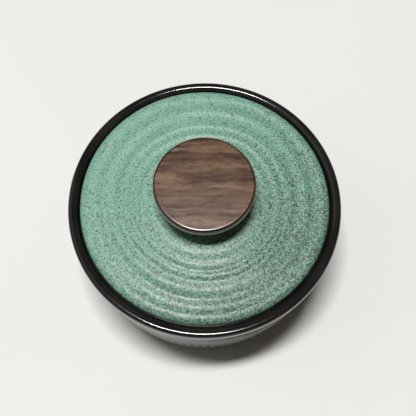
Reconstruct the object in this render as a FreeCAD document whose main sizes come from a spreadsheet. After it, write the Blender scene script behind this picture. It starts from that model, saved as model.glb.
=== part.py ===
# Go stone bowl: a black-glazed stoneware bowl with a fluted lower wall, and a green speckled
# stoneware lid that drops into the rim, with a turned wooden knob screwed on from below.
# Millimetres. Z is the axis of the bowl, and z = 0 is the face of its foot.
import FreeCAD, Part
import os
import Sketcher

SIZES = {
    # bowl
    "bowl_height": 66.0,       # foot to the crest of the rim
    "rim_radius": 60.0,        # outside of the rim, the widest part of the bowl
    "rim_wall": 4.4,           # wall at the rim, beside the lid
    "rim_band": 4.0,           # height of the upright band under the crest
    "rim_outer_round": 1.5,
    "rim_inner_round": 2.4,
    "belly_inset": 5.8,        # rim in to the belly, where the straight wall ends and the base curves in
    "belly_height": 13.0,
    "foot_inset": 6.4,         # belly in to the foot ring
    "foot_width": 4.0,
    "foot_step": 1.2,          # upright edge of the foot ring
    "foot_recess": 2.0,        # hollow inside the foot ring
    "floor": 6.0,              # floor of the bowl, measured from the recess
    "ledge_width": 3.6,        # ledge that carries the lid
    "bore_depth": 10.0,        # upright part of the mouth below the ledge
    "well_taper": 2.6,         # mouth in to the inside of the bowl at its floor
    "well_round": 10.0,
    "ledge_depth": 4.3,        # crest of the rim down to the ledge that carries the lid
    "flute_count": 90.0,
    "flute_drop": 25.0,        # crest of the rim down to where a flute runs out
    "flute_depth": 0.7,        # at the belly
    "flute_tool": 1.8,         # radius of the gouge that cuts a flute
    # lid
    "lid_gap": 0.95,           # between the rim and the edge of the lid
    "lid_edge": 6.0,           # thickness of the lid's edge
    "lid_dome": 2.0,           # rise of the lid from its edge to its middle
    "lid_plate": 6.2,          # thickness in the middle
    "edge_round": 2.2,
    "edge_under_round": 1.2,
    "pad_radius": 11.0,        # flat seat of the knob
    "wave_sag": 0.4,           # depth of the throwing rings
    "wave_round": 1.2,
    "crest_one": 31.85,        # crests of the throwing rings, in from the edge of the lid
    "crest_two": 26.95,
    "crest_three": 22.45,
    "crest_four": 17.85,
    "crest_five": 10.05,
    "crest_six": 2.85,
    "skirt_gap": 1.4,          # between the mouth of the bowl and the skirt of the lid
    "skirt_depth": 7.0,
    "skirt_wall": 5.0,
    "dish_round": 3.0,
    "screw_hole": 2.5,
    # silicone ring on the skirt
    "ring_land": 1.0,          # skirt above and below the ring's groove
    "ring_seat": 1.7,          # depth of the groove
    "ring_play": 0.1,          # ring to groove, all round
    "ring_band": 1.4,
    "ring_fin": 0.8,
    "ring_mouth_gap": 0.25,    # fins to the mouth of the bowl
    # knob
    "knob_radius": 21.6,
    "knob_height": 16.8,
    "knob_disc": 5.0,
    "knob_top_round": 1.1,
    "knob_under_round": 1.4,
    "stem_foot": 9.5,
    "stem_waist": 7.6,
    "stem_cove": 4.0,
    # fastening, M4
    "thread_radius": 2.0,
    "fit": 0.05,               # play between fixed pieces that nest
    "cushion_radius": 9.0,
    "cushion_thick": 0.8,
    "pad_washer_radius": 7.0,
    "pad_washer_thick": 1.0,
    "washer_radius": 6.0,
    "washer_thick": 0.8,
    "washer_hole": 2.15,
    "screw_length": 16.0,
    "head_radius": 4.0,
    "head_height": 2.4,
    "head_round": 1.0,
    "screw_chamfer": 0.5,
    "cross_length": 4.4,
    "cross_width": 0.9,
    "cross_depth": 1.4,
    "insert_length": 8.0,
    "insert_radius": 3.2,
    "insert_root": 2.7,
    "insert_flange": 4.2,
    "insert_flange_thick": 0.8,
    "insert_pitch": 1.4,
    "hole_rest": 3.0,          # spare depth of the knob's hole above the insert
}
INSERT_THREADS = 4
THREAD_START, THREAD_CREST, THREAD_END = 0.4, 0.3, 0.6   # shares of the insert's pitch
MESH_TOLERANCE = 0.05
MATCH = 1e-4                   # two lengths or directions closer than this are the same
ARC_GUESS = 0.15               # bulge of an arc over its chord, before its tangency is solved

# Heights and radii that follow from the sizes, as expressions of the sheet.
LEDGE = "(Sizes.bowl_height - Sizes.ledge_depth)"
RIM_INNER = "(Sizes.rim_radius - Sizes.rim_wall)"
LID_RADIUS = f"({RIM_INNER} - Sizes.lid_gap)"
BELLY_RADIUS = "(Sizes.rim_radius - Sizes.belly_inset)"
FOOT_RADIUS = f"({BELLY_RADIUS} - Sizes.foot_inset)"
FLUTE_TOP = "(Sizes.bowl_height - Sizes.flute_drop)"
BORE_RADIUS = f"({RIM_INNER} - Sizes.ledge_width)"
WELL_RADIUS = f"({BORE_RADIUS} - Sizes.well_taper)"
CRESTS = [f"({LID_RADIUS} - Sizes.crest_{name})" for name in ("one", "two", "three", "four", "five", "six")]
SKIRT_RADIUS = f"({BORE_RADIUS} - Sizes.skirt_gap)"
GROOVE_RADIUS = f"({SKIRT_RADIUS} - Sizes.ring_seat)"
LID_BASE = f"({LEDGE} - Sizes.skirt_depth)"
LID_TOP = "(Sizes.skirt_depth + Sizes.lid_edge)"
LID_PAD = f"({LID_TOP} + Sizes.lid_dome * (1 - (Sizes.pad_radius / {CRESTS[-1]})^2))"
LID_UNDER = f"({LID_PAD} - Sizes.lid_plate)"
KNOB_BASE = f"({LID_BASE} + {LID_PAD} + Sizes.cushion_thick)"
WASHER_TOP = f"({LID_BASE} + {LID_UNDER} - Sizes.pad_washer_thick)"
HEAD_TOP = f"({WASHER_TOP} - Sizes.washer_thick)"

document = FreeCAD.newDocument("GoBowl")
sheet = document.addObject("Spreadsheet::Sheet", "Sizes")


def fill_sheet():
    for row, (name, value) in enumerate(SIZES.items(), start=1):
        sheet.set(f"A{row}", name)
        sheet.set(f"B{row}", str(value))
        sheet.setAlias(f"B{row}", name)
    document.recompute()


def value_of(expression):
    """The number that an expression of the sheet stands for."""
    result = sheet.evalExpression(str(expression))
    return float(getattr(result, "Value", result))


def mesh_volume(shape):
    points, facets = shape.tessellate(MESH_TOLERANCE)
    return sum(points[a].dot(points[b].cross(points[c])) / 6 for a, b, c in facets)


def origin_item(body, role):
    for item in body.Origin.OriginFeatures:
        if item.Role == role:
            return item


def new_piece(name, base="0"):
    """A body whose own z = 0 is its lowest face, placed at the height base."""
    body = document.addObject("PartDesign::Body", name)
    body.Label = name
    body.setExpression("Placement.Base.z", base)
    return body


def new_sketch(body, name):
    sketch = body.newObject("Sketcher::SketchObject", name)
    sketch.AttachmentSupport = [(origin_item(body, "YZ_Plane"), "")]
    sketch.MapMode = "FlatFace"
    return sketch


def pin(sketch, side, end, across, up):
    """Hold one end of a side at a place given by two expressions."""
    for kind, expression, axis in (("DistanceX", across, -2), ("DistanceY", up, -1)):
        if expression == "0":
            sketch.addConstraint(Sketcher.Constraint("PointOnObject", side, end, axis))
        else:
            number = value_of(expression)
            index = sketch.addConstraint(Sketcher.Constraint(kind, -1, 1, side, end, number))
            sketch.setExpression(f"Constraints[{index}]", expression)


def outline(sketch, corners):
    """Closed outline through corners of (radius, height) or (radius, height, shape of next side).

    A side is straight, an arc tangent to the side after it ("tangent"), or a hollow arc whose
    depth is given by an expression.
    """
    count = len(corners)
    places = [FreeCAD.Vector(value_of(c[0]), value_of(c[1]), 0) for c in corners]
    shapes = [c[2] if len(c) > 2 else "line" for c in corners]
    starts = []
    for i, shape in enumerate(shapes):
        first, last = places[i], places[(i + 1) % count]
        if shape == "line":
            sketch.addGeometry(Part.LineSegment(first, last))
            starts.append(1)
            continue
        chord = last - first
        aside = FreeCAD.Vector(chord.y, -chord.x, 0).normalize()
        depth = chord.Length * ARC_GUESS if shape == "tangent" else value_of(shape)
        middle = (first + last) * 0.5 + aside * depth
        sketch.addGeometry(Part.Arc(first, middle, last))
        near_start = (sketch.getPoint(i, 1) - first).Length < (sketch.getPoint(i, 2) - first).Length
        starts.append(1 if near_start else 2)
    for i, shape in enumerate(shapes):
        following = (i + 1) % count
        joint = "Tangent" if shape == "tangent" else "Coincident"
        sketch.addConstraint(
            Sketcher.Constraint(joint, i, 3 - starts[i], following, starts[following]))
    for i, corner in enumerate(corners):
        pin(sketch, i, starts[i], corner[0], corner[1])
    for i, shape in enumerate(shapes):
        if shape not in ("line", "tangent"):
            after = corners[(i + 1) % count]
            across, up = (f"(({after[k]}) - ({corners[i][k]}))" for k in (0, 1))
            chord_squared = f"({across}^2 + {up}^2)"
            radius = f"({chord_squared} / 4 + ({shape})^2) / (2 * ({shape}))"
            index = sketch.addConstraint(Sketcher.Constraint("Radius", i, value_of(radius)))
            sketch.setExpression(f"Constraints[{index}]", radius)


def turn(body, corners):
    """A solid of revolution about the body's Z axis."""
    sketch = new_sketch(body, body.Name + "_outline")
    outline(sketch, corners)
    document.recompute()
    solid = body.newObject("PartDesign::Revolution", body.Name + "_turned")
    solid.Profile = sketch
    solid.ReferenceAxis = (origin_item(body, "Z_Axis"), [""])
    solid.Angle = 360
    document.recompute()
    return solid


def circle_edges(feature, places):
    """Names of the circular edges about the Z axis at places of (radius, height)."""
    wanted = [(value_of(radius), value_of(height)) for radius, height in places]
    base = feature.getParentGeoFeatureGroup().Placement.Base.z
    names = []
    for number, edge in enumerate(feature.Shape.Edges, start=1):
        curve = edge.Curve
        if not isinstance(curve, Part.Circle) or abs(abs(curve.Axis.z) - 1) > MATCH:
            continue
        for radius, height in wanted:
            if abs(curve.Radius - radius) < MATCH and min(
                    abs(curve.Center.z - height), abs(curve.Center.z - base - height)) < MATCH:
                names.append(f"Edge{number}")
    if len(names) != len(wanted):
        raise RuntimeError(f"{feature.Name}: {len(names)} of {len(wanted)} edges found to round")
    return names


def round_edges(body, places, radius):
    base = body.Tip
    fillet = body.newObject("PartDesign::Fillet", f"{body.Name}_round")
    fillet.Base = (base, circle_edges(base, places))
    fillet.setExpression("Radius", radius)
    document.recompute()


def make_bowl():
    bowl = new_piece("bowl")
    foot_inner = f"{FOOT_RADIUS} - Sizes.foot_width"
    band = "Sizes.bowl_height - Sizes.rim_band"
    floor = "Sizes.foot_recess + Sizes.floor"
    mouth_end = f"{LEDGE} - Sizes.bore_depth"
    turn(bowl, [
        ("0", "Sizes.foot_recess"),
        (foot_inner, "Sizes.foot_recess"),
        (foot_inner, "0"),
        (FOOT_RADIUS, "0"),
        (FOOT_RADIUS, "Sizes.foot_step", "tangent"),
        (BELLY_RADIUS, "Sizes.belly_height"),
        ("Sizes.rim_radius", band),
        ("Sizes.rim_radius", "Sizes.bowl_height"),
        (RIM_INNER, "Sizes.bowl_height"),
        (RIM_INNER, LEDGE),
        (BORE_RADIUS, LEDGE),
        (BORE_RADIUS, mouth_end),
        (WELL_RADIUS, floor),
        ("0", floor),
    ])
    round_edges(bowl, [("Sizes.rim_radius", "Sizes.bowl_height")], "Sizes.rim_outer_round")
    round_edges(bowl, [(RIM_INNER, "Sizes.bowl_height")], "Sizes.rim_inner_round")
    round_edges(bowl, [(WELL_RADIUS, floor)], "Sizes.well_round")
    cut_flutes(bowl, band)
    return bowl


def cut_flutes(bowl, band):
    """Upright flutes cut by a straight round gouge that leaves the wall at the flutes' top."""
    wall_slope = f"Sizes.belly_inset / ({band} - Sizes.belly_height)"
    flute_rise = f"({FLUTE_TOP} - Sizes.belly_height)"
    tool_slope = f"({wall_slope} + Sizes.flute_depth / {flute_rise})"
    wall_at_top = f"({BELLY_RADIUS} + {wall_slope} * {flute_rise})"
    lean = f"atan({tool_slope})"
    tool_end = "Sizes.bowl_height"
    whole = mesh_volume(bowl.Tip.Shape)
    flute = bowl.newObject("PartDesign::SubtractiveCylinder", "flute")
    flute.setExpression("Radius", "Sizes.flute_tool")
    flute.setExpression("Height", f"{tool_end} / cos({lean})")
    flute.Placement.Rotation = FreeCAD.Rotation(FreeCAD.Vector(0, 1, 0), 180)
    flute.setExpression("Placement.Rotation.Angle", f"180 deg + {lean}")
    flute.setExpression("Placement.Base.x", f"{wall_at_top} + {tool_slope} * Sizes.flute_drop"
                                            f" + Sizes.flute_tool / cos({lean})")
    flute.setExpression("Placement.Base.z", tool_end)
    document.recompute()
    pattern = bowl.newObject("PartDesign::PolarPattern", "flutes")
    pattern.Originals = [flute]
    pattern.Axis = (origin_item(bowl, "Z_Axis"), [""])
    pattern.Angle = 360
    pattern.setExpression("Occurrences", "Sizes.flute_count")
    bowl.Tip = pattern
    document.recompute()
    if not mesh_volume(bowl.Shape) < whole:
        raise RuntimeError("the flutes cut nothing")


def dome_height(radius):
    """Height of the lid's top at a radius: a shallow dome."""
    return f"({LID_TOP} + Sizes.lid_dome * (1 - ({radius} / {CRESTS[-1]})^2))"


def make_lid():
    lid = new_piece("lid", LID_BASE)
    skirt_inner = f"({SKIRT_RADIUS} - Sizes.skirt_wall)"
    groove_low = "Sizes.ring_land"
    groove_high = "(Sizes.skirt_depth - Sizes.ring_land)"
    crests = [(radius, dome_height(radius)) for radius in CRESTS]
    waves = [(radius, height, "Sizes.wave_sag") for radius, height in crests[1:]]
    turn(lid, [
        ("Sizes.screw_hole", LID_UNDER),
        (skirt_inner, LID_UNDER),
        (skirt_inner, "0"),
        (SKIRT_RADIUS, "0"),
        (SKIRT_RADIUS, groove_low),
        (GROOVE_RADIUS, groove_low),
        (GROOVE_RADIUS, groove_high),
        (SKIRT_RADIUS, groove_high),
        (SKIRT_RADIUS, "Sizes.skirt_depth"),
        (LID_RADIUS, "Sizes.skirt_depth"),
        (LID_RADIUS, LID_TOP),
        *reversed(waves),
        crests[0],
        ("Sizes.pad_radius", LID_PAD),
        ("Sizes.screw_hole", LID_PAD),
    ])
    round_edges(lid, [(LID_RADIUS, LID_TOP)], "Sizes.edge_round")
    round_edges(lid, [(LID_RADIUS, "Sizes.skirt_depth")], "Sizes.edge_under_round")
    round_edges(lid, crests[1:-1], "Sizes.wave_round")
    round_edges(lid, [(skirt_inner, LID_UNDER)], "Sizes.dish_round")
    return lid


def make_lid_ring():
    """Silicone ring in the groove of the skirt: a band with two fins that centre the lid."""
    ring = new_piece("lid_ring", f"{LID_BASE} + Sizes.ring_land + Sizes.ring_play")
    tall = "(Sizes.skirt_depth - 2 * Sizes.ring_land - 2 * Sizes.ring_play)"
    inner = f"({GROOVE_RADIUS} + Sizes.ring_play)"
    band = f"({inner} + Sizes.ring_band)"
    fin_tip = f"({BORE_RADIUS} - Sizes.ring_mouth_gap)"
    turn(ring, [
        (inner, "0"),
        (fin_tip, "0"),
        (fin_tip, "Sizes.ring_fin"),
        (band, "Sizes.ring_fin"),
        (band, f"{tall} - Sizes.ring_fin"),
        (fin_tip, f"{tall} - Sizes.ring_fin"),
        (fin_tip, tall),
        (inner, tall),
    ])
    return ring


def make_knob():
    """Turned wooden knob: a flat disc on a short stem, with a blind hole for the insert."""
    knob = new_piece("knob", KNOB_BASE)
    hole = "(Sizes.insert_radius + Sizes.fit)"
    flange_hole = "(Sizes.insert_flange + Sizes.fit)"
    hole_end = "(Sizes.insert_length + Sizes.hole_rest)"
    under = "(Sizes.knob_height - Sizes.knob_disc)"
    turn(knob, [
        (flange_hole, "0"),
        ("Sizes.stem_foot", "0"),
        ("Sizes.stem_waist", under),
        ("Sizes.knob_radius", under),
        ("Sizes.knob_radius", "Sizes.knob_height"),
        ("0", "Sizes.knob_height"),
        ("0", hole_end),
        (hole, hole_end),
        (hole, "Sizes.insert_flange_thick"),
        (flange_hole, "Sizes.insert_flange_thick"),
    ])
    round_edges(knob, [("Sizes.knob_radius", "Sizes.knob_height")], "Sizes.knob_top_round")
    round_edges(knob, [("Sizes.knob_radius", under)], "Sizes.knob_under_round")
    round_edges(knob, [("Sizes.stem_waist", under)], "Sizes.stem_cove")
    return knob


def make_insert():
    """Brass threaded insert: a flanged sleeve with coarse outer threads that bite the wood."""
    insert = new_piece("knob_insert", KNOB_BASE)
    bore = "(Sizes.thread_radius + Sizes.fit)"
    corners = [
        (bore, "0"),
        ("Sizes.insert_flange", "0"),
        ("Sizes.insert_flange", "Sizes.insert_flange_thick"),
        ("Sizes.insert_root", "Sizes.insert_flange_thick"),
    ]
    for turn_number in range(INSERT_THREADS):
        start = f"(Sizes.insert_flange_thick + {turn_number + THREAD_START} * Sizes.insert_pitch)"
        corners += [
            ("Sizes.insert_root", start),
            ("Sizes.insert_radius", f"{start} + {THREAD_CREST} * Sizes.insert_pitch"),
            ("Sizes.insert_root", f"{start} + {THREAD_END} * Sizes.insert_pitch"),
        ]
    corners += [("Sizes.insert_root", "Sizes.insert_length"), (bore, "Sizes.insert_length")]
    turn(insert, corners)
    return insert


def make_washer(name, base, radius, hole, thick):
    washer = new_piece(name, base)
    turn(washer, [(hole, "0"), (radius, "0"), (radius, thick), (hole, thick)])
    return washer


def make_screw():
    """M4 pan-head screw, head down, with a cross recess in its head."""
    screw = new_piece("knob_screw", f"{HEAD_TOP} - Sizes.head_height")
    tip = "(Sizes.head_height + Sizes.screw_length)"
    turn(screw, [
        ("0", "0"),
        ("Sizes.head_radius", "0"),
        ("Sizes.head_radius", "Sizes.head_height"),
        ("Sizes.thread_radius", "Sizes.head_height"),
        ("Sizes.thread_radius", f"{tip} - Sizes.screw_chamfer"),
        ("Sizes.thread_radius - Sizes.screw_chamfer", tip),
        ("0", tip),
    ])
    round_edges(screw, [("Sizes.head_radius", "0")], "Sizes.head_round")
    for name, along, across in (("slot_x", "cross_length", "cross_width"),
                                ("slot_y", "cross_width", "cross_length")):
        before = screw.Shape.Volume
        slot = screw.newObject("PartDesign::SubtractiveBox", name)
        slot.setExpression("Length", f"Sizes.{along}")
        slot.setExpression("Width", f"Sizes.{across}")
        slot.setExpression("Height", "Sizes.cross_depth")
        slot.setExpression("Placement.Base.x", f"-Sizes.{along} / 2")
        slot.setExpression("Placement.Base.y", f"-Sizes.{across} / 2")
        document.recompute()
        if not screw.Shape.Volume < before:
            raise RuntimeError("the recess of the screw cuts nothing")
    return screw


def make_pieces():
    hole = "Sizes.screw_hole"
    return [
        make_bowl(),
        make_lid(),
        make_lid_ring(),
        make_knob(),
        make_insert(),
        make_washer("knob_cushion", f"{LID_BASE} + {LID_PAD}",
                    "Sizes.cushion_radius", hole, "Sizes.cushion_thick"),
        make_washer("washer_cushion", WASHER_TOP,
                    "Sizes.pad_washer_radius", hole, "Sizes.pad_washer_thick"),
        make_washer("screw_washer", HEAD_TOP,
                    "Sizes.washer_radius", "Sizes.washer_hole", "Sizes.washer_thick"),
        make_screw(),
    ]


def check(pieces):
    """Stop on anything that failed, before a file is written."""
    for item in document.Objects:
        if "Invalid" in item.State or "Error" in item.State:
            raise RuntimeError(f"{item.Name} failed: {item.State}")
    for piece in pieces:
        if piece.Shape.isNull() or not piece.Shape.isValid():
            raise RuntimeError(f"{piece.Label} has no valid shape")
        if len(piece.Shape.Solids) != 1:
            raise RuntimeError(f"{piece.Label} is {len(piece.Shape.Solids)} solids")


def main():
    fill_sheet()
    pieces = make_pieces()
    document.recompute()
    check(pieces)
    os.makedirs("parts", exist_ok=True)
    for piece in pieces:
        piece.Shape.exportStep(os.path.join("parts", piece.Label + ".step"))
        box = piece.Shape.optimalBoundingBox(False, False)
        print(f"{piece.Label}: {box.XLength:.2f} x {box.YLength:.2f}, z {box.ZMin:.2f} to {box.ZMax:.2f},"
              f" {piece.Shape.Volume / 1000:.2f} cm3, {len(piece.Shape.Faces)} faces")


main()
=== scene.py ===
# Looks of the go stone bowl: black fluted bowl, speckled green lid, turned wooden knob.
import math

import bpy
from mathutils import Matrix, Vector, noise


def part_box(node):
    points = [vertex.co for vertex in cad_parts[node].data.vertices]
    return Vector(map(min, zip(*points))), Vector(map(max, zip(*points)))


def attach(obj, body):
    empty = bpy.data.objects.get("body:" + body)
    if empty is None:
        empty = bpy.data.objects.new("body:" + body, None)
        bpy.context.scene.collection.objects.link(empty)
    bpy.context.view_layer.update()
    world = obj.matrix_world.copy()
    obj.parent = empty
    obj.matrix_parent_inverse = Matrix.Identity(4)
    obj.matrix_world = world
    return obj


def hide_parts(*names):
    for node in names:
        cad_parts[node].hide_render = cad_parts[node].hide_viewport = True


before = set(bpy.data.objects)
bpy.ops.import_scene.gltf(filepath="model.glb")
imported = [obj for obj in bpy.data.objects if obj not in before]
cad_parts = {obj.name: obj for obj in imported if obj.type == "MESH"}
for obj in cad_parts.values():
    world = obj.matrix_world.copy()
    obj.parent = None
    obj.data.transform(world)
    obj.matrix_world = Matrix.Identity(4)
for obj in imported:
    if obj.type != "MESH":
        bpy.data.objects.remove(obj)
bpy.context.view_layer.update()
scene = bpy.context.scene
MM = 0.001

# ---------------------------------------------------------------- sizes, in millimetres
bowl_high = Vector(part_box("bowl")[1]) / MM
lid_low = Vector(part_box("lid")[0]) / MM
knob_low, knob_high = (Vector(corner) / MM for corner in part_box("knob"))
ring_low, ring_high = (Vector(corner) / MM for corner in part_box("lid_ring"))

RIM_RADIUS = bowl_high.y
RIM_HEIGHT = bowl_high.z
RIM_WALL = 4.4
RIM_INNER = RIM_RADIUS - RIM_WALL
RIM_BAND = RIM_HEIGHT - 4.0           # the wall stands upright above this height
RIM_WANDER = 12.0                     # the rim's hand-made variation fades out this far down
BELLY = Vector((54.2, 13.0))          # radius and height where the wall turns in to the foot
WALL_SLOPE = (RIM_RADIUS - BELLY.x) / (RIM_BAND - BELLY.y)
FOOT_RADIUS = 47.8
FOOT_INNER = 43.8
FOOT_STEP = 1.2
FOOT_RECESS = 2.0
BASE_PARTS = 28
CLAY_TOP = 0.55                       # bare clay lies below this height, outside this radius
CLAY_INNER = 43.0
BORE_RADIUS = 52.0
BORE_DEPTH = 10.0
LEDGE = RIM_HEIGHT - 4.3
WELL_RADIUS = 49.4
WELL_FLOOR = 8.0

FLUTES = 90
FLUTE_SAMPLES = 10
FLUTE_INNER = 50.2                    # the flutes are outside this radius, above this height
FLUTE_BOTTOM = 3.0
FLUTE_TOP = 41.0
FLUTE_DEPTH = 0.7
FLUTE_TOOL = 1.8
FLUTE_SOFT = 0.10                     # how far from a flute's edge the glaze rounds it off

CRESTS = (17.5, 22.8, 27.7, 32.2, 36.8, 44.6, 51.8)   # throwing rings of the lid
WAVE_DEPTHS = (0.04, 0.16, 0.31, 0.38, 0.55, 0.50)    # the dip between each two of them
WAVE_POWER = 0.85                     # below 1, the dips are wider than the crests
LID_SIDES = 480
LID_GAP = 0.95                        # clearance all round, between the lid and the rim
LID_RADIUS = RIM_INNER - LID_GAP
LID_SEAT = lid_low.z + 7.0
LID_EDGE_TOP = lid_low.z + 13.0
LID_EDGE_ROUND = 2.4
LID_EDGE_PARTS = 15
LID_TOP_PARTS = 120
LID_DOME = 2.0
LID_PLATE = 6.2
PAD_RADIUS = 11.0
PAD_ROWS = (9, 7, 5, 3.5)
SCREW_HOLE = 2.5
SKIRT_RADIUS = 50.6
SKIRT_INNER = 45.6
GROOVE_RADIUS = 48.9
GROOVE_LAND = 1.0

KNOB_SIDES = 256
KNOB_RADIUS = 21.6
KNOB_DISC = 5.0
KNOB_CROWN = 0.22
KNOB_MIDDLE = 6.0                     # no lacquer inside this radius
STEM_RADIUS = 9.5
STEM_WAIST = 7.6
INSERT_RADIUS = 3.25
INSERT_DEPTH = 11.0
FLANGE_RADIUS = 4.25
FLANGE_DEPTH = 0.8

RING_SIDES = 360
RING_INNER = 49.0
RING_BAND = 50.4
RING_FIN = 0.8
RING_SEAM = (2.0, 2.2)                # heights up the bore where its outline begins and ends

# ---------------------------------------------------------------- meshes of revolution
ARC_STEP = 0.5
FEWEST_ON_ARC = 4
NOTHING = 1e-6
WOBBLE_LUMPS = 1.3                    # size of the circle walked through the noise


def rounded(corners, step=1.0):
    """Points along an outline of (radius, height, rounding) corners, no further apart than step."""
    ends = (0, len(corners) - 1)
    points = []
    for i, (across, up, rounding) in enumerate(corners):
        here = Vector((across, up))
        if rounding <= 0 or i in ends:
            points.append(here)
            continue
        back = (Vector(corners[i - 1][:2]) - here).normalized()
        ahead = (Vector(corners[i + 1][:2]) - here).normalized()
        half = back.angle(ahead) / 2
        reach = rounding / math.tan(half)
        centre = here + (back + ahead).normalized() * (rounding / math.sin(half))
        start, end = here + back * reach - centre, here + ahead * reach - centre
        sweep = start.angle_signed(end)
        parts = max(FEWEST_ON_ARC, math.ceil(abs(sweep) * rounding / ARC_STEP))
        for k in range(parts + 1):
            turn = -sweep * k / parts
            cos, sin = math.cos(turn), math.sin(turn)
            points.append(centre + Vector((start.x * cos - start.y * sin,
                                           start.x * sin + start.y * cos)))
    dense = [points[0]]
    for point in points[1:]:
        gap = (point - dense[-1]).length
        if gap < NOTHING:
            continue
        parts = max(1, math.ceil(gap / step))
        first = dense[-1].copy()
        dense += [first.lerp(point, (k + 1) / parts) for k in range(parts)]
    return dense


def lathe(name, outline, sides, shape=None, closed=False):
    """A smooth mesh turned about Z; shape(point, angle) may move a point of the outline."""
    verts, faces, rows = [], [], []
    for point in outline:
        if point.x < NOTHING:
            rows.append([len(verts)] * sides)
            verts.append((0, 0, point.y * MM))
            continue
        rows.append(list(range(len(verts), len(verts) + sides)))
        for k in range(sides):
            angle = 2 * math.pi * k / sides
            spot = shape(point, angle) if shape else point
            verts.append((spot.x * math.cos(angle) * MM, spot.x * math.sin(angle) * MM,
                          spot.y * MM))
    pairs = list(zip(rows, rows[1:])) + ([(rows[-1], rows[0])] if closed else [])
    for low, high in pairs:
        for k in range(sides):
            after = (k + 1) % sides
            corners = dict.fromkeys((low[k], low[after], high[after], high[k]))
            if len(corners) > 2:
                faces.append(tuple(corners))
    mesh = bpy.data.meshes.new(name)
    mesh.from_pydata(verts, [], faces)
    mesh.shade_smooth()
    mesh.update()
    piece = bpy.data.objects.new(name, mesh)
    scene.collection.objects.link(piece)
    return piece


def wobble(angle, seed, size):
    """A slow, hand-made variation round the axis."""
    across, along = math.cos(angle) * WOBBLE_LUMPS, math.sin(angle) * WOBBLE_LUMPS
    return size * noise.noise(Vector((across, along, seed)))


# ---------------------------------------------------------------- material helpers


def new_material(name):
    material = bpy.data.materials.new(name)
    material.use_nodes = True
    tree = material.node_tree
    return material, tree, tree.nodes["Principled BSDF"]


def add(tree, kind, links=None, **settings):
    """A node with its sockets set or linked, and its properties set."""
    made = tree.nodes.new("ShaderNode" + kind)
    for key, value in settings.items():
        setattr(made, key, value)
    for key, value in (links or {}).items():
        if isinstance(value, bpy.types.NodeSocket):
            tree.links.new(value, made.inputs[key])
        else:
            made.inputs[key].default_value = value
    return made


def ramp(tree, factor, stops):
    """A colour ramp of (position, colour) stops; a single number is a grey."""
    made = add(tree, "ValToRGB", {"Fac": factor})
    elements = made.color_ramp.elements
    while len(elements) < len(stops):
        elements.new(0.5)
    for element, (position, colour) in zip(elements, stops):
        element.position = position
        element.color = (*colour, 1) if isinstance(colour, tuple) else (colour, colour, colour, 1)
    return made.outputs["Color"]


def place(tree, scale=(1, 1, 1)):
    """Object coordinates in metres, stretched."""
    coords = add(tree, "TexCoord").outputs["Object"]
    return add(tree, "Mapping", {"Vector": coords, "Scale": scale}).outputs["Vector"]


def noise_at(tree, where, scale, detail=3.0, rough=0.5, out="Fac"):
    made = add(tree, "TexNoise", {"Vector": where, "Scale": scale, "Detail": detail,
                                  "Roughness": rough})
    return made.outputs[out]


def mix(tree, factor, first, second):
    """Two colours blended; sockets 6 and 7 are the Mix node's colour inputs."""
    made = add(tree, "Mix", data_type="RGBA")
    for socket, value in ((0, factor), (6, first), (7, second)):
        if isinstance(value, bpy.types.NodeSocket):
            tree.links.new(value, made.inputs[socket])
        else:
            made.inputs[socket].default_value = value if socket == 0 else (*value, 1)
    return made.outputs[2]


def bump(tree, shader, height, distance, strength, normal=None):
    """Relief on the shader, distance in metres, laid over another bump's normal if given."""
    links = {"Height": height, "Distance": distance, "Strength": strength}
    if normal is not None:
        links["Normal"] = normal
    made = add(tree, "Bump", links)
    tree.links.new(made.outputs["Normal"], shader.inputs["Normal"])
    return made.outputs["Normal"]


# ---------------------------------------------------------------- materials


def black_glaze():
    material, tree, shader = new_material("bowl_glaze")
    where = place(tree)
    cloud = noise_at(tree, where, 45, 4)
    tint = ramp(tree, cloud, [(0.35, (0.006, 0.006, 0.0065)), (0.7, (0.016, 0.015, 0.014))])
    pits = add(tree, "TexVoronoi", {"Vector": where, "Scale": 620.0}).outputs["Distance"]
    pit_dots = ramp(tree, pits, [(0.0, 1.0), (0.10, 0.0)])
    tint = mix(tree, pit_dots, tint, (0.004, 0.004, 0.004))
    tree.links.new(tint, shader.inputs["Base Color"])
    # the glaze is glossy on the rim and runs thinner, so duller, down the wall
    height = add(tree, "SeparateXYZ", {"Vector": where}).outputs["Z"]
    dull = add(tree, "MapRange", {"Value": height, "From Min": 0.058, "From Max": 0.040,
                                  "To Min": 0.06, "To Max": 0.24}).outputs["Result"]
    cloudy = ramp(tree, noise_at(tree, where, 160, 3), [(0.3, 0.04), (0.75, 0.10)])
    tree.links.new(add(tree, "Math", {0: dull, 1: cloudy}, operation="ADD").outputs[0],
                   shader.inputs["Roughness"])
    ripple = bump(tree, shader, noise_at(tree, where, 190, 2), 0.00006, 0.3)
    bump(tree, shader, noise_at(tree, where, 1400, 2), 0.00001, 0.2, ripple)
    shader.inputs["IOR"].default_value = 1.52
    return material


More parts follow.
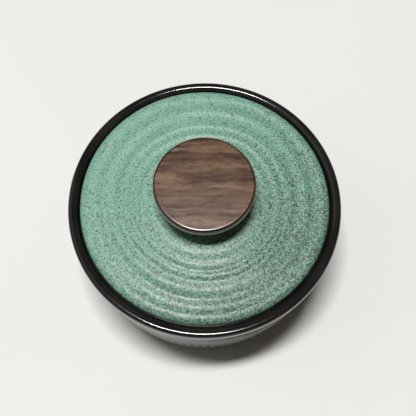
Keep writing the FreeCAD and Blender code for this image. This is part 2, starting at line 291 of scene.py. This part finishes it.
def green_glaze():
    material, tree, shader = new_material("lid_glaze")
    where = place(tree)
    cloud = ramp(tree, noise_at(tree, where, 42, 4, 0.6), [(0.3, 0.0), (0.7, 1.0)])
    tint = mix(tree, cloud, (0.175, 0.390, 0.300), (0.225, 0.445, 0.355))
    pale = ramp(tree, noise_at(tree, where, 1500, 2, 0.6), [(0.50, 0.0), (0.66, 1.0)])
    tint = mix(tree, pale, tint, (0.270, 0.500, 0.405))
    # the brown flecks are denser towards +X and -Y, the near right of the lid: partly the glaze's
    # own flecks, partly painted shade that darkens that side
    across = add(tree, "SeparateXYZ", {"Vector": where}).outputs
    side = 0.0
    for axis, weight in (("X", 0.8), ("Y", -1.0)):
        side = add(tree, "Math", {0: across[axis], 1: weight, 2: side},
                   operation="MULTIPLY_ADD").outputs[0]
    fleck_and_shade_bias = add(tree, "MapRange", {"Value": side, "From Min": -0.045, "From Max": 0.055,
                                   "To Min": -0.025, "To Max": 0.042}).outputs["Result"]
    for scale, detail, threshold, strength, colour in (
            (1250, 3, 0.545, 0.90, (0.032, 0.040, 0.026)),
            (800, 4, 0.570, 0.85, (0.048, 0.044, 0.027)),
            (2300, 2, 0.550, 0.75, (0.055, 0.080, 0.056))):
        grain = noise_at(tree, where, scale, detail, 0.75)
        # the bias raises the fleck count on the near right side, which paints shade there as well
        # as flecks
        grain = add(tree, "Math", {0: grain, 1: fleck_and_shade_bias}, operation="ADD").outputs[0]
        mask = ramp(tree, grain, [(threshold, 0.0), (threshold + 0.05, strength)])
        tint = mix(tree, mask, tint, colour)
    tree.links.new(tint, shader.inputs["Base Color"])
    tree.links.new(ramp(tree, noise_at(tree, where, 700, 3), [(0.3, 0.36), (0.75, 0.50)]),
                   shader.inputs["Roughness"])
    orange = bump(tree, shader, noise_at(tree, where, 420, 3), 0.00012, 0.5)
    bump(tree, shader, noise_at(tree, where, 1700, 2), 0.00005, 0.5, orange)
    shader.inputs["Specular IOR Level"].default_value = 0.5
    return material


def dark_wood():
    material, tree, shader = new_material("knob_wood")
    where = place(tree, (26, 230, 230))
    warp = noise_at(tree, place(tree, (60, 95, 95)), 1.0, 3, out="Color")
    warp = add(tree, "VectorMath", {0: warp, 1: (1.6, 1.6, 1.6)}, operation="MULTIPLY").outputs[0]
    bent = add(tree, "VectorMath", {0: where, 1: warp}, operation="ADD").outputs[0]
    grain = noise_at(tree, bent, 1.0, 7, 0.68)
    tint = ramp(tree, grain, [(0.30, (0.018, 0.008, 0.005)), (0.43, (0.078, 0.036, 0.019)),
                              (0.55, (0.145, 0.075, 0.040)), (0.70, (0.235, 0.132, 0.074))])
    streaks = noise_at(tree, place(tree, (60, 620, 620)), 1.0, 4, 0.6)
    patches = noise_at(tree, place(tree, (34, 50, 50)), 1.0, 1)
    where_dark = ramp(tree, patches, [(0.40, 0.0), (0.60, 1.0)])
    streaks = ramp(tree, streaks, [(0.40, 0.9), (0.49, 0.0)])
    streaks = mix(tree, where_dark, (0, 0, 0), streaks)
    tint = mix(tree, streaks, tint, (0.010, 0.007, 0.008))
    pores = noise_at(tree, place(tree, (330, 2300, 2300)), 1.0, 2, 0.6)
    pore_mask = ramp(tree, pores, [(0.32, 0.7), (0.44, 0.0)])
    tint = mix(tree, pore_mask, tint, (0.020, 0.010, 0.007))
    tree.links.new(tint, shader.inputs["Base Color"])
    tree.links.new(ramp(tree, grain, [(0.3, 0.25), (0.7, 0.32)]), shader.inputs["Roughness"])
    relief = bump(tree, shader, pore_mask, -0.00002, 0.15)
    bump(tree, shader, grain, 0.00005, 0.35, relief)
    shader.inputs["Specular IOR Level"].default_value = 0.85
    return material


def lacquered_edge():
    material, tree, shader = new_material("knob_edge")
    where = place(tree, (40, 160, 420))
    tint = ramp(tree, noise_at(tree, where, 1.0, 4, 0.6),
                [(0.35, (0.010, 0.002, 0.001)), (0.6, (0.045, 0.010, 0.005)),
                 (0.75, (0.085, 0.022, 0.009))])
    tree.links.new(tint, shader.inputs["Base Color"])
    shader.inputs["Roughness"].default_value = 0.16
    shader.inputs["Coat Weight"].default_value = 0.6
    shader.inputs["Coat Roughness"].default_value = 0.06
    bump(tree, shader, noise_at(tree, place(tree), 500, 2), 0.00004, 0.3)
    return material


def metal(name, low, high, rough):
    material, tree, shader = new_material(name)
    marks = noise_at(tree, place(tree, (900, 900, 5200)), 1.0, 4, 0.6)
    tree.links.new(ramp(tree, marks, [(0.3, low), (0.7, high)]), shader.inputs["Base Color"])
    tree.links.new(ramp(tree, marks, [(0.3, rough * 0.8), (0.7, rough * 1.3)]),
                   shader.inputs["Roughness"])
    shader.inputs["Metallic"].default_value = 1.0
    bump(tree, shader, marks, 0.00002, 0.3)
    return material


def rubber(name, low, high):
    material, tree, shader = new_material(name)
    grain = noise_at(tree, place(tree), 1800, 3, 0.6)
    tree.links.new(ramp(tree, grain, [(0.3, low), (0.7, high)]), shader.inputs["Base Color"])
    tree.links.new(ramp(tree, grain, [(0.3, 0.5), (0.7, 0.68)]), shader.inputs["Roughness"])
    bump(tree, shader, grain, 0.00003, 0.4)
    return material


# ---------------------------------------------------------------- pieces


def flute_radius(radius, height, angle):
    """Radius of the wall where a round gouge has cut the flutes, softened by the glaze."""
    gouge = BELLY.x + WALL_SLOPE * (FLUTE_TOP - BELLY.y)
    gouge += (WALL_SLOPE + FLUTE_DEPTH / (FLUTE_TOP - BELLY.y)) * (height - FLUTE_TOP) + FLUTE_TOOL
    pitch = 2 * math.pi / FLUTES
    off = (angle / pitch - round(angle / pitch)) * pitch
    aside = gouge * math.sin(off)
    if abs(aside) >= FLUTE_TOOL:
        return radius
    cut = gouge * math.cos(off) - math.sqrt(FLUTE_TOOL ** 2 - aside ** 2)
    blend = max(FLUTE_SOFT - abs(radius - cut), 0) / FLUTE_SOFT
    return min(radius, cut) - blend * blend * FLUTE_SOFT / 4


def make_bowl():
    # the base curves in on an arc that leaves the wall smoothly and ends on the foot ring
    slope = math.atan(WALL_SLOPE)
    foot = Vector((FOOT_RADIUS, FOOT_STEP))
    chord = foot - BELLY
    inward = Vector((-math.cos(slope), math.sin(slope)))
    arc = chord.length_squared / (2 * chord.dot(inward))
    centre = BELLY + inward * arc
    end = foot - centre
    start = BELLY - centre
    first, last = math.atan2(end.y, end.x), math.atan2(start.y, start.x)
    base = []
    for k in range(BASE_PARTS + 1):
        turn = first + (last - first) * k / BASE_PARTS
        base.append(centre + arc * Vector((math.cos(turn), math.sin(turn))))
    under = rounded([(0, FOOT_RECESS, 0), (FOOT_INNER, FOOT_RECESS, 0.8), (FOOT_INNER, 0, 0.5),
                     (FOOT_RADIUS, 0, 0.5), (FOOT_RADIUS, FOOT_STEP, 0)])
    wall = rounded([(BELLY.x, BELLY.y, 0), (RIM_RADIUS, RIM_BAND, 3.0),
                    (RIM_RADIUS, RIM_HEIGHT, 1.5), (RIM_INNER, RIM_HEIGHT, 2.4),
                    (RIM_INNER, LEDGE, 0.5), (BORE_RADIUS, LEDGE, 0.4),
                    (BORE_RADIUS, LEDGE - BORE_DEPTH, 6.0), (WELL_RADIUS, WELL_FLOOR, 10.0),
                    (0, WELL_FLOOR, 0)], step=1.6)

    def shape(point, angle):
        radius, height = point
        if radius > FLUTE_INNER and FLUTE_BOTTOM < height < FLUTE_TOP + 1:
            radius = flute_radius(radius, height, angle)
        if height > RIM_HEIGHT - RIM_WANDER and radius > RIM_INNER + 0.6:
            above = height - RIM_HEIGHT + RIM_WANDER
            height += wobble(angle, seed=4.0, size=0.10) * above / RIM_WANDER
        return Vector((radius, height))

    bowl = lathe("bowl_stoneware", under[:-1] + base + wall[1:], FLUTES * FLUTE_SAMPLES, shape)
    bowl.data.materials.append(black_glaze())
    clay_foot(bowl)
    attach(bowl, "bowl")
    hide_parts("bowl")


def clay_foot(bowl):
    """The foot ring stands on bare clay, wiped clean of glaze."""
    material, tree, shader = new_material("bare_clay")
    where = place(tree)
    grain = noise_at(tree, where, 1500, 4, 0.65)
    tree.links.new(ramp(tree, grain, [(0.3, (0.10, 0.075, 0.055)), (0.7, (0.19, 0.145, 0.11))]),
                   shader.inputs["Base Color"])
    tree.links.new(ramp(tree, grain, [(0.3, 0.75), (0.7, 0.92)]), shader.inputs["Roughness"])
    bump(tree, shader, grain, 0.00008, 0.6)
    bowl.data.materials.append(material)
    for face in bowl.data.polygons:
        if face.center.z < CLAY_TOP * MM and face.center.length > CLAY_INNER * MM:
            face.material_index = 1


def dome(radius):
    """Height of the lid's top before the throwing rings dip below it."""
    return LID_EDGE_TOP + LID_DOME * (1 - (radius / CRESTS[-1]) ** 2)


def wave_depth(radius, angle):
    """How far a throwing ring dips below the dome, uneven as a thrown lid is."""
    radius += wobble(angle, seed=1.5 + radius * 0.02, size=0.9)
    for inner, outer, depth in zip(CRESTS, CRESTS[1:], WAVE_DEPTHS):
        if inner <= radius < outer:
            share = (radius - inner) / (outer - inner)
            dip = (0.5 - 0.5 * math.cos(2 * math.pi * share)) ** WAVE_POWER
            return dip * depth * (1 + wobble(angle, seed=inner, size=0.5))
    return 0.0


def make_lid():
    bottom = lid_low.z
    pad = dome(PAD_RADIUS)
    under = pad - LID_PLATE
    groove_low, groove_high = bottom + GROOVE_LAND, LID_SEAT - GROOVE_LAND
    shoulder = LID_EDGE_TOP - LID_EDGE_ROUND
    below = rounded([(SCREW_HOLE, pad, 0), (SCREW_HOLE, under, 0.3), (SKIRT_INNER, under, 3.0),
                     (SKIRT_INNER, bottom, 0.8), (SKIRT_RADIUS, bottom, 0.6),
                     (SKIRT_RADIUS, groove_low, 0), (GROOVE_RADIUS, groove_low, 0.3),
                     (GROOVE_RADIUS, groove_high, 0.3), (SKIRT_RADIUS, groove_high, 0),
                     (SKIRT_RADIUS, LID_SEAT, 0.5), (LID_RADIUS, LID_SEAT, 1.3),
                     (LID_RADIUS, shoulder, 0)])
    # the edge rounds over into the dome just inside the outermost crest
    reach = LID_RADIUS - CRESTS[-1] + 0.4
    edge = []
    for k in range(1, LID_EDGE_PARTS):
        turn = math.pi / 2 * k / LID_EDGE_PARTS
        edge.append(Vector((LID_RADIUS - reach + reach * math.cos(turn),
                            shoulder + LID_EDGE_ROUND * math.sin(turn))))
    first, last = LID_RADIUS - reach, PAD_RADIUS
    top = [Vector((first + (last - first) * k / LID_TOP_PARTS, 0))
           for k in range(LID_TOP_PARTS + 1)]
    top = [Vector((p.x, dome(min(p.x, CRESTS[-1])))) for p in top]
    top += [Vector((radius, pad)) for radius in PAD_ROWS]
    crown = LID_EDGE_TOP - 0.1

    def shape(point, angle):
        radius, height = point
        if height > crown and radius > PAD_RADIUS:
            height -= wave_depth(radius, angle)
        if radius > SKIRT_RADIUS + 1 and height > LID_SEAT + 1:
            height += wobble(angle, seed=9.0, size=0.10)
        return Vector((radius, height))

    lid = lathe("lid_stoneware", below + edge + top, LID_SIDES, shape, closed=True)
    lid.data.materials.append(green_glaze())
    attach(lid, "lid")
    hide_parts("lid")


def make_knob():
    base, top = knob_low.z, knob_high.z
    under = top - KNOB_DISC
    bore_end, flange_end = base + INSERT_DEPTH, base + FLANGE_DEPTH
    outline = rounded([(0, bore_end, 0), (INSERT_RADIUS, bore_end, 0),
                       (INSERT_RADIUS, flange_end, 0), (FLANGE_RADIUS, flange_end, 0),
                       (FLANGE_RADIUS, base, 0), (STEM_RADIUS, base, 0.5),
                       (STEM_WAIST, under, 4.0), (KNOB_RADIUS, under, 1.6),
                       (KNOB_RADIUS, top, 1.15), (0, top, 0)], step=0.4)

    def shape(point, angle):
        # the top is sanded a touch lower towards its edge, and slightly out of true
        radius, height = point
        if height > top - 2.0:
            height -= KNOB_CROWN * (radius / KNOB_RADIUS) ** 2
        if radius > KNOB_RADIUS - 3.0:
            radius -= 0.05 + wobble(angle, seed=21.0, size=0.05)
        return Vector((radius, height))

    knob = lathe("knob_turned", outline, KNOB_SIDES, shape)
    knob.data.materials.append(dark_wood())
    knob.data.materials.append(lacquered_edge())
    # the sanded top and the middle, round the insert's bore, stay wood; the rest is lacquered
    for face in knob.data.polygons:
        radius = math.hypot(face.center.x, face.center.y) / MM
        if radius > KNOB_MIDDLE and (radius > KNOB_RADIUS - 1.0 or face.normal.z < 0.5):
            face.material_index = 1
    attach(knob, "lid")
    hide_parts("knob")


def make_ring():
    low, high, outer = ring_low.z, ring_high.z, ring_high.y
    fin_low, fin_high = low + RING_FIN, high - RING_FIN
    outline = rounded([(RING_INNER, low + RING_SEAM[0], 0), (RING_INNER, low, 0.2),
                       (outer, low, 0.35), (outer, fin_low, 0.35), (RING_BAND, fin_low, 0.3),
                       (RING_BAND, fin_high, 0.3), (outer, fin_high, 0.35), (outer, high, 0.35),
                       (RING_INNER, high, 0.2), (RING_INNER, low + RING_SEAM[1], 0)], step=0.3)
    ring = lathe("silicone_ring", outline, RING_SIDES, closed=True)
    ring.data.materials.append(rubber("silicone", (0.012, 0.012, 0.013), (0.030, 0.030, 0.032)))
    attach(ring, "lid_ring")
    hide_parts("lid_ring")


def dress_fasteners():
    steel = metal("steel", (0.42, 0.43, 0.44), (0.62, 0.63, 0.64), 0.26)
    brass = metal("insert_brass", (0.55, 0.37, 0.14), (0.80, 0.60, 0.28), 0.22)
    cushion = rubber("cushion_rubber", (0.010, 0.010, 0.010), (0.028, 0.027, 0.026))
    for node, finish in (("knob_screw", steel), ("screw_washer", steel), ("knob_insert", brass),
                         ("knob_cushion", cushion), ("washer_cushion", cushion)):
        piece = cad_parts[node]
        piece.data.materials.clear()
        piece.data.materials.append(finish)


# ---------------------------------------------------------------- floor, light and camera


def make_stage():
    half = 3.0
    corners = [(-half, -half, 0), (half, -half, 0), (half, half, 0), (-half, half, 0)]
    mesh = bpy.data.meshes.new("floor")
    mesh.from_pydata(corners, [], [(0, 1, 2, 3)])
    floor = bpy.data.objects.new("floor", mesh)
    scene.collection.objects.link(floor)
    material, tree, shader = new_material("floor")
    cloud = noise_at(tree, place(tree), 6, 2)
    tree.links.new(ramp(tree, cloud, [(0.3, (0.80, 0.80, 0.795)), (0.7, (0.82, 0.82, 0.815))]),
                   shader.inputs["Base Color"])
    shader.inputs["Roughness"].default_value = 0.8
    shader.inputs["Specular IOR Level"].default_value = 0.2
    floor.data.materials.append(material)


def aim(thing, target):
    thing.rotation_euler = (Vector(target) - thing.location).to_track_quat("-Z", "Y").to_euler()


def soft_light(name, toward, distance, size, energy, twist=0.0):
    """A rectangular light that shines on the rim of the bowl from the direction toward."""
    target = Vector((0, 0, RIM_HEIGHT * MM))
    light = bpy.data.lights.new(name, "AREA")
    light.shape = "RECTANGLE"
    light.size, light.size_y = size
    light.energy = energy
    light.color = (1.0, 0.985, 0.96)
    lamp = bpy.data.objects.new(name, light)
    scene.collection.objects.link(lamp)
    lamp.location = target + distance * Vector(toward).normalized()
    aim(lamp, target)
    lamp.rotation_euler.rotate_axis("Z", twist)


def make_lights():
    soft_light("overhead", toward=(-0.062, -0.024, 1), distance=2.2, size=(0.16, 0.60),
               energy=48.5, twist=math.radians(-10))
    soft_light("window", toward=(-0.75, 0.1, 0.8), distance=1.2, size=(1.1, 1.1), energy=1.5)
    world = bpy.data.worlds.new("room")
    scene.world = world
    world.use_nodes = True
    room = world.node_tree.nodes["Background"]
    room.inputs["Color"].default_value = (1.0, 0.89, 0.70, 1)
    room.inputs["Strength"].default_value = 0.075


def make_camera():
    distance, elevation, focal_px, width_px = 0.350, math.radians(68.98), 800.4, 416
    target = Vector((1.49, -2.82, RIM_HEIGHT)) * MM
    data = bpy.data.cameras.new("camera")
    data.sensor_width = 36.0
    data.lens = focal_px * data.sensor_width / width_px
    data.clip_start = 0.01
    camera = bpy.data.objects.new("camera", data)
    scene.collection.objects.link(camera)
    camera.location = target + distance * Vector((0, -math.cos(elevation), math.sin(elevation)))
    aim(camera, target)
    bpy.context.scene.camera = camera


make_bowl()
make_lid()
make_knob()
make_ring()
dress_fasteners()
make_stage()
make_lights()
make_camera()
scene.view_settings.view_transform = "Standard"
